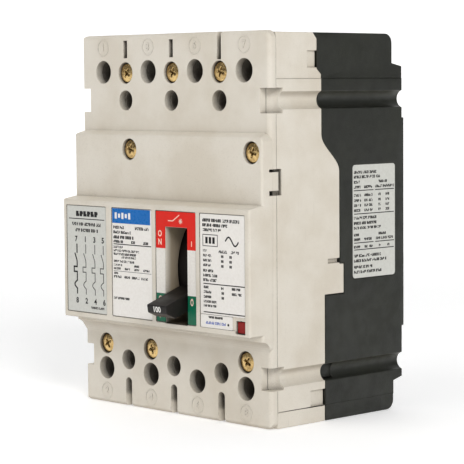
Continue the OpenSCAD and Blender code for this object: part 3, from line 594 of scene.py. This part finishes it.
class Print:
    """Thin raised ink on one face. across runs to the reader's right, z runs up, both in mm."""

    def __init__(self, name, face, material, body="case", slot="white_label"):
        self.name, self.face, self.material = name, face, material
        self.body, self.slot = body, slot
        self.mesh = bmesh.new()

    def prism(self, outline):
        """A closed prism over a counter-clockwise outline of (across, z) points."""
        low = [self.mesh.verts.new(self.face(a, z, -INK_SUNK)) for a, z in outline]
        high = [self.mesh.verts.new(self.face(a, z, INK_T)) for a, z in outline]
        self.mesh.faces.new(high)
        self.mesh.faces.new(list(reversed(low)))
        count = len(outline)
        for i in range(count):
            n = (i + 1) % count
            self.mesh.faces.new((low[i], low[n], high[n], high[i]))

    def bar(self, a0, a1, z0, z1):
        self.prism([(a0, z0), (a1, z0), (a1, z1), (a0, z1)])

    def stroke(self, points, width):
        """A line of one width through the points, with mitred corners."""
        half = width / 2
        left, right = [], []
        count = len(points)
        for i, (a, z) in enumerate(points):
            before = points[max(i - 1, 0)]
            after = points[min(i + 1, count - 1)]
            onward = Vector((after[0] - a, after[1] - z))
            d1 = Vector((a - before[0], z - before[1])) if i else onward.copy()
            d2 = onward if i < count - 1 else d1
            d1.normalize()
            d2.normalize()
            n1, n2 = Vector((-d1.y, d1.x)), Vector((-d2.y, d2.x))
            mitre = (n1 + n2).normalized()
            reach = half / max(0.35, mitre.dot(n1))
            left.append((a + mitre.x * reach, z + mitre.y * reach))
            right.append((a - mitre.x * reach, z - mitre.y * reach))
        for i in range(count - 1):
            self.prism([right[i], right[i + 1], left[i + 1], left[i]])

    def disc(self, a, z, radius, hole=0.0, steps=28):
        ring = [(math.cos(2 * math.pi * k / steps), math.sin(2 * math.pi * k / steps))
                for k in range(steps)]
        if not hole:
            self.prism([(a + radius * c, z + radius * s) for c, s in ring])
            return
        for k in range(steps):
            (c0, s0), (c1, s1) = ring[k], ring[(k + 1) % steps]
            self.prism([(a + hole * c0, z + hole * s0), (a + radius * c0, z + radius * s0),
                        (a + radius * c1, z + radius * s1), (a + hole * c1, z + hole * s1)])

    def words(self, a0, a1, z_top, height, rng, weight=0.6):
        """A line of small marks in word-like groups that spell nothing. weight is the share of
        cells that are filled."""
        cell = height * 0.6
        gap = height * 0.12
        rows, columns = 3, 2
        a = a0
        letters_left = rng.randint(*WORD_LENGTHS)
        while a + cell <= a1 + 0.01:
            filled = 0
            for row in range(rows):
                for column in range(columns):
                    if rng.random() < weight + BOLDER or (row == rows - 1 and not filled):
                        filled += 1
                        self.bar(a + column * cell / columns, a + (column + 1) * cell / columns,
                                 z_top - (row + 1) * height / rows, z_top - row * height / rows)
            a += cell + gap
            letters_left -= 1
            if not letters_left:
                a += cell * 0.7
                letters_left = rng.randint(*WORD_LENGTHS)

    def text(self, string, a, z, size, stretch=1.0, boldness=0.012):
        """Plain numerals and on/off marks, with the middle of the string at (a, z)."""
        curve = bpy.data.curves.new("string", "FONT")
        curve.body = string
        curve.size = size
        curve.resolution_u = 4
        curve.offset = size * boldness
        curve.align_x = "CENTER"
        curve.align_y = "CENTER"
        holder = bpy.data.objects.new("string", curve)
        bpy.context.scene.collection.objects.link(holder)
        shape = bmesh.new()
        shape.from_mesh(holder.evaluated_get(bpy.context.evaluated_depsgraph_get()).to_mesh())
        bmesh.ops.remove_doubles(shape, verts=shape.verts, dist=size * 0.002)
        bmesh.ops.dissolve_limit(shape, angle_limit=0.01, verts=shape.verts, edges=shape.edges)
        faces = [[(v.co.x * stretch, v.co.y) for v in face.verts] for face in shape.faces
                 if face.normal.z != 0]
        flip = [face.normal.z < 0 for face in shape.faces if face.normal.z != 0]
        shape.free()
        bpy.data.objects.remove(holder)
        bpy.data.curves.remove(curve)
        table = {}

        def corner(point, lift):
            key = (round(point[0], 6), round(point[1], 6), lift)
            if key not in table:
                table[key] = self.mesh.verts.new(self.face(a + point[0], z + point[1], lift))
            return table[key]

        rim = {}
        for outline, turned in zip(faces, flip):
            loop = list(reversed(outline)) if turned else outline
            self.mesh.faces.new([corner(p, INK_T) for p in loop])
            self.mesh.faces.new([corner(p, -INK_SUNK) for p in reversed(loop)])
            for p, q in zip(loop, loop[1:] + loop[:1]):
                rim[(p, q)] = rim.get((q, p), 0) + 1
                if (q, p) in rim:
                    rim[(p, q)] = rim[(q, p)] = 2
        for (p, q), uses in rim.items():
            if uses == 1:
                self.mesh.faces.new((corner(p, -INK_SUNK), corner(q, -INK_SUNK),
                                     corner(q, INK_T), corner(p, INK_T)))

    def done(self):
        new_piece(self.name, as_data(self.mesh, self.name), self.material, self.body,
                  smooth=False)


def front_face(node):
    """Maps (across, z, lift) to the front of a CAD node."""
    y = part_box(node)[0][1]
    return lambda a, z, lift: Vector((a * MM, y - lift * MM, z * MM))


def side_face(node):
    """Maps (across, z, lift) to the right-hand side of a CAD node, where across is -f."""
    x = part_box(node)[1][0]
    return lambda a, z, lift: Vector((x + lift * MM, a * MM, z * MM))


def schematic_print():
    """A word-like heading, pole numerals and one current path per pole."""
    rng = random.Random(21)
    face = front_face("schematic_label")
    bold = Print("schematic_print", face, black_ink, slot="grey_label")
    fine = Print("schematic_small_print", face, grey_ink, slot="grey_label")
    for k in range(6):
        a = -43.2 + 2.15 * k
        bold.bar(a, a + 1.5, 1.9, 3.9)
        bold.bar(a + 1.5, a + 1.9, 1.9 + 0.8 * (k % 2), 2.9 + 0.8 * (k % 2))
    bold.bar(-47.4, -26.7, 0.8, 1.12)
    fine.words(-45.6, -28.2, -0.4, 1.25, rng)
    fine.words(-43.6, -30.2, -2.7, 1.25, rng)
    for number, a in (("7", -43.3), ("1", -37.9), ("3", -32.6), ("5", -27.7)):
        bold.text(number, a, -6.8, 2.9, boldness=0.03)
    for number, a in (("8", -42.9), ("2", -37.5), ("4", -32.3), ("6", -27.2)):
        bold.text(number, a, -30.1, 2.9, boldness=0.03)
    for k, a in enumerate((-42.9, -37.7, -32.4, -27.5)):
        width = 0.62 if k == 0 else 0.36
        pen = bold if k == 0 else fine
        pen.stroke([(a, -8.6), (a, -12.1)], width)
        arc = [(a - 1.5 * math.sin(math.pi * t / 8), -22.5 - 3.0 * t / 8) for t in range(9)]
        pen.stroke([(a - 1.3, -12.1), (a - 0.1, -14.8), (a, -15.6), (a, -17.3), (a - 1.8, -17.3),
                    (a - 1.8, -19.2), (a, -19.2), (a, -21.8), *arc, (a, -26.2), (a, -27.6)],
                   width)
    fine.words(-34.9, -26.9, -31.9, 0.85, rng)
    bold.done()
    fine.done()


def rating_print():
    """The blue strip and the word-like rows below it."""
    rng = random.Random(22)
    face = front_face("rating_label")
    strip = Print("rating_strip", face, blue_ink)
    strip.bar(-22.1, -0.9, 0.3, 5.75)
    strip.done()
    marks = Print("rating_strip_marks", lambda a, z, lift: face(a, z, lift + INK_T), white_ink)
    for k, high in enumerate((2.3, 1.5, 2.3, 1.5, 2.3)):
        a = -20.6 + 1.9 * k
        marks.bar(a, a + 1.15, 3.1 - high / 2, 3.1 + high / 2)
    marks.done()
    bold = Print("rating_print", face, black_ink)
    for a0, a1, z, high, weight in (
            (-21.5, -15.4, -0.7, 1.1, 0.55), (-9.3, -1.7, -0.7, 1.1, 0.55),
            (-21.5, -11.1, -2.5, 1.05, 0.55), (-21.5, -9.9, -4.3, 1.15, 0.75),
            (-21.5, -15.5, -6.0, 1.0, 0.6), (-11.5, -9.4, -6.0, 1.0, 0.6),
            (-4.9, -1.6, -6.0, 1.0, 0.6),
            (-21.5, -16.2, -8.1, 0.85, 0.5), (-21.5, -6.6, -9.4, 0.85, 0.5),
            (-21.5, -8.0, -10.7, 0.85, 0.55), (-17.0, -8.9, -11.9, 0.8, 0.5),
            (-21.4, -9.9, -13.4, 0.85, 0.55), (-21.4, -16.7, -14.8, 0.8, 0.55),
            (-10.0, -7.2, -14.8, 0.8, 0.55), (-21.4, -17.3, -16.1, 0.8, 0.55),
            (-15.2, -12.4, -16.1, 0.8, 0.5), (-10.0, -7.0, -16.1, 0.8, 0.6),
            (-4.9, -1.2, -16.1, 0.8, 0.55), (-21.2, -18.9, -17.9, 0.75, 0.6),
            (-21.4, -16.7, -19.1, 0.9, 0.6), (-15.6, -12.4, -19.1, 0.9, 0.6),
            (-11.3, -6.8, -19.1, 0.9, 0.55), (-6.0, -1.9, -19.1, 0.9, 0.6),
            (-21.4, -12.8, -27.1, 0.85, 0.6)):
        bold.words(a0, a1, z, high, rng, weight)
    bold.bar(-21.5, -0.5, -7.65, -7.3)
    bold.bar(-21.5, -0.5, -17.55, -17.4)
    bold.done()


def data_print():
    """The data table's word-like rows, and the sticker beside the trip button."""
    rng = random.Random(23)
    face = front_face("data_label")
    bold = Print("data_print", face, black_ink)
    for a0, a1, z, high, weight in (
            (26.9, 45.6, 4.2, 1.15, 0.6), (26.9, 40.2, 2.45, 1.1, 0.6), (26.9, 36.5, 0.7, 1.0, 0.6),
            (27.2, 29.0, -6.7, 0.85, 0.55), (35.2, 39.4, -6.7, 1.0, 0.55),
            (41.4, 45.8, -6.7, 1.0, 0.55), (27.2, 33.3, -13.7, 0.95, 0.6),
            (27.2, 34.6, -15.4, 0.95, 0.6), (27.2, 34.8, -17.0, 1.0, 0.6),
            (27.4, 30.0, -19.6, 0.9, 0.6), (36.3, 38.1, -19.6, 0.9, 0.6),
            (41.7, 45.9, -19.5, 0.9, 0.75), (41.7, 47.0, -21.3, 0.9, 0.7),
            (27.4, 33.9, -24.7, 0.85, 0.6), (27.4, 34.2, -26.2, 0.8, 0.6)):
        bold.words(a0, a1, z, high, rng, weight)
    for z in (-8.4, -10.1, -11.8):
        bold.words(27.2, 31.4, z, 0.9, rng)
        bold.words(36.4, 37.8, z, 0.9, rng, 0.8)
        bold.words(40.6, 42.0, z, 0.9, rng, 0.8)
    for z in (-21.3, -23.0):
        bold.words(27.4, 31.3, z, 0.9, rng)
        bold.words(36.5, 37.9, z, 0.9, rng, 0.8)
    bold.bar(27.3, 48.2, -19.0, -18.65)
    bold.bar(27.3, 48.2, -29.05, -28.7)
    # A plain framed panel with three bars, and a sine wave for alternating current
    for a0, a1, z0, z1 in ((27.0, 34.7, -1.6, -1.35), (27.0, 34.7, -5.6, -5.35),
                           (27.0, 27.25, -5.35, -1.6), (34.45, 34.7, -5.35, -1.6)):
        bold.bar(a0, a1, z0, z1)
    for a in (28.4, 30.2, 32.0):
        bold.bar(a, a + 1.2, -4.6, -2.3)
    wave = [(38.6 + 6.6 * t / 24, -3.4 + 1.5 * math.sin(2 * math.pi * t / 24)) for t in range(25)]
    bold.stroke(wave, 0.55)
    bold.done()
    sticker = front_face("trip_sticker")
    dark = Print("sticker_print", sticker, black_ink)
    dark.words(29.8, 37.3, -30.2, 0.8, rng, 0.7)
    dark.disc(39.8, -32.7, 0.45)
    dark.done()
    pale = Print("sticker_blue_print", sticker, pale_blue_ink)
    pale.words(28.4, 38.6, -32.1, 1.0, rng, 0.6)
    pale.done()


def side_print():
    """Word-like rows and rules on the side label."""
    rng = random.Random(24)
    bold = Print("side_print", side_face("side_label"), black_ink, slot="grey_label")
    rows = (
        (-27.2, -15.0, 19.5, 1.05), (-27.2, -12.7, 17.8, 1.05), (-27.2, -23.7, 15.9, 1.0),
        (-13.9, -8.9, 15.9, 1.0), (-27.2, -23.6, 14.1, 1.0), (-21.7, -16.8, 14.1, 1.0),
        (-15.6, -5.5, 14.1, 1.0),
        (-27.2, -15.0, 2.9, 1.05), (-27.2, -14.0, 1.0, 1.05), (-27.2, -12.4, -0.8, 0.95),
        (-27.2, -23.7, -3.3, 0.95), (-13.9, -8.9, -3.3, 0.95), (-27.2, -23.6, -5.0, 0.95),
        (-21.7, -16.8, -5.0, 0.95), (-15.6, -5.5, -5.0, 0.95),
        (-27.2, -23.3, -7.7, 0.95), (-21.5, -16.5, -7.7, 0.95), (-14.0, -12.6, -7.7, 0.95),
        (-9.2, -7.9, -7.7, 0.95),
        (-27.2, -12.2, -10.9, 1.05), (-27.2, -9.0, -12.7, 1.05),
        (-27.2, -17.0, -15.0, 1.05), (-27.2, -12.3, -16.8, 1.05))
    for a0, a1, z, high in rows:
        bold.words(a0, a1, z, high, rng)
    for z in (11.1, 9.2, 7.4, 5.6):
        for a0, a1 in ((-27.1, -23.2), (-21.6, -16.6), (-14.0, -12.6), (-10.0, -7.4)):
            bold.words(a0, a1, z, 0.95, rng)
    for a0, a1, z in ((-27.2, -16.7, 12.35), (-15.7, -5.4, 12.35), (-27.1, -5.5, 3.85),
                      (-27.1, -16.7, -6.7), (-15.7, -5.4, -6.7), (-27.1, -5.5, -9.2)):
        bold.bar(a0, a1, z - 0.16, z + 0.16)
    bold.done()


def plate_print():
    """On and off marks and a switch sign on the handle plate."""
    marks = Print("handle_plate_marks", front_face("handle_plate"), pink_ink, slot="colour_label")
    for letter, a, z in (("O", 4.4, -2.4), ("N", 4.4, -5.4)):
        marks.text(letter, a, z, 3.0, 0.85, boldness=0.02)
    marks.text("I", 21.2, -5.4, 2.7)
    for letter, a, z in (("O", 4.4, -26.0), ("F", 4.4, -29.0), ("F", 4.4, -32.0)):
        marks.text(letter, a, z, 2.8, 0.85)
    marks.text("O", 21.2, -26.3, 3.5, 0.55, boldness=0.03)
    marks.stroke([(8.8, 2.5), (11.3, 2.5), (14.8, 4.7)], 0.34)
    for k in range(4):
        angle = math.radians(45 * k + 10)
        c, s = 0.95 * math.cos(angle), 0.95 * math.sin(angle)
        marks.stroke([(15.5 - c, 2.5 - s), (15.5 + c, 2.5 + s)], 0.24)
    marks.done()


DECK_F = 70.0
RELIEF = 7           # the numerals stand this many times higher than ink
POLES = (-38.1, -12.7, 12.7, 38.1)


def pole_numbers():
    """Raised numerals inside the rings on the deck."""
    def face(a, z, lift):
        return Vector((a * MM, -(DECK_F + RELIEF * lift) * MM, z * MM))

    raised = Print("pole_numbers", face, materials["cream_moulding"], slot="cream_moulding")
    for k, a in enumerate(POLES):
        raised.text(str(2 * k + 1), a, 65.1, 3.8, boldness=0.025)
        raised.text(str(2 * k + 2), a, -65.2, 3.8, boldness=0.025)
    raised.done()


HANDLE_TILT = 19.1       # below level at rest, in degrees
HANDLE_REACH = 44.3      # from its pivot to its end face
END_SLOPE = (0.5, 2.85)  # fall of the end face, and over what height


def handle_number():
    """The rating on the end of the handle, turned with the handle."""
    joint = next(j for j in frame["joints"] if j["name"] == "handle_swing")
    pivot = Vector(joint["pos_m"])
    tilt = Matrix.Rotation(math.radians(HANDLE_TILT), 4, "X")
    reach = HANDLE_REACH * MM
    slope = math.atan2(*END_SLOPE)

    def face(a, z, lift):
        depth = reach + (lift - (z - 0.1) * math.tan(slope)) * MM
        return pivot + tilt @ Vector((a * MM - pivot.x, -depth, z * MM))

    number = Print("handle_number", face, white_ink, body="handle_body", slot="handle_plastic")
    number.text("100", 13.0, 1.45, 2.8, boldness=0.02)
    number.done()


schematic_print()
rating_print()
data_print()
side_print()
plate_print()
pole_numbers()
handle_number()


# ---------- Stage, light and camera ----------

CAMERA_AZIMUTH = 46.22
CAMERA_ELEVATION = 4.36
CAMERA_ROLL = -0.42
CAMERA_DISTANCE = 733.83
LENS = 150.51
TARGET = Vector((-1.93, -38.0, -4.59)) * MM


def stage_floor():
    """A pale floor that curves up into a backdrop behind the object. Its sizes are in metres."""
    near, far, wide, bend, top = -2.2, 1.6, 3.0, 0.8, 2.6
    profile = [(near, 0.0), (far - bend, 0.0)]
    for degrees in range(9, 91, 9):
        a = math.radians(degrees)
        profile.append((far - bend + bend * math.sin(a), bend - bend * math.cos(a)))
    profile.append((far, top))
    away = math.radians(CAMERA_AZIMUTH)
    back = Vector((-math.sin(away), math.cos(away), 0))
    side = Vector((math.cos(away), math.sin(away), 0))
    mesh = bmesh.new()
    rows = []
    for along, up in profile:
        rows.append([mesh.verts.new(back * along + side * s + Vector((0, 0, FLOOR_Z + up)))
                     for s in (-wide, wide)])
    for (a, b), (c, d) in zip(rows, rows[1:]):
        mesh.faces.new((a, b, d, c))
    data = as_data(mesh, "floor")
    data.shade_smooth()
    floor = bpy.data.objects.new("floor", data)
    bpy.context.scene.collection.objects.link(floor)
    s = Shader("floor")
    s.colour(s.mix(s.noise(3.0), (0.93, 0.93, 0.93), (0.96, 0.96, 0.96)))
    s.set(Roughness=0.8)
    s.surface.inputs["Emission Color"].default_value = (1, 1, 1, 1)
    far_off = s.add("ShaderNodeVectorMath", operation="LENGTH")
    s.link(s.place, far_off.inputs[0])
    # Brighter far from the object, so that the backdrop is white and the shadow stays soft
    s.link(s.fit(far_off.outputs["Value"], 0.3, 1.2, 0.3, 0.62),
           s.surface.inputs["Emission Strength"])
    data.materials.append(s.material)


def softbox(name, azimuth, elevation, distance, size, power):
    """An area light aimed at the object, from the given azimuth and elevation in degrees."""
    light = bpy.data.lights.new(name, "AREA")
    light.shape = "RECTANGLE"
    light.size, light.size_y = size
    light.energy = power
    lamp = bpy.data.objects.new(name, light)
    bpy.context.scene.collection.objects.link(lamp)
    a, e = math.radians(azimuth), math.radians(elevation)
    away = Vector((math.sin(a) * math.cos(e), -math.cos(a) * math.cos(e), math.sin(e)))
    lamp.location = TARGET + away * distance
    lamp.rotation_euler = away.to_track_quat("Z", "Y").to_euler()


def camera():
    """The camera, turned about the target by an azimuth, an elevation and a roll."""
    data = bpy.data.cameras.new("camera")
    data.sensor_width = 36
    data.lens = LENS
    data.clip_start = 0.01
    eye = bpy.data.objects.new("camera", data)
    bpy.context.scene.collection.objects.link(eye)
    a, e, roll = (math.radians(v) for v in (CAMERA_AZIMUTH, CAMERA_ELEVATION, CAMERA_ROLL))
    back = Vector((math.sin(a) * math.cos(e), -math.cos(a) * math.cos(e), math.sin(e)))
    right = Vector((math.cos(a), math.sin(a), 0))
    up = back.cross(right)
    tilted = right * math.cos(roll) + up * math.sin(roll)
    upright = up * math.cos(roll) - right * math.sin(roll)
    turn = Matrix((tilted, upright, back)).transposed().to_4x4()
    turn.translation = TARGET + back * CAMERA_DISTANCE * MM
    eye.matrix_world = turn
    bpy.context.scene.camera = eye


stage_floor()
softbox("key", 62, 30, 1.5, (0.5, 0.5), 10)
softbox("front_fill", -20, 45, 1.6, (1.2, 1.0), 4.6)
softbox("top", 30, 85, 1.5, (1.2, 1.2), 2.8)
world = bpy.data.worlds.new("studio")
world.use_nodes = True
world.node_tree.nodes["Background"].inputs["Color"].default_value = (1, 1, 1, 1)
world.node_tree.nodes["Background"].inputs["Strength"].default_value = 0.17
bpy.context.scene.world = world
bpy.context.scene.view_settings.view_transform = "Standard"
camera()
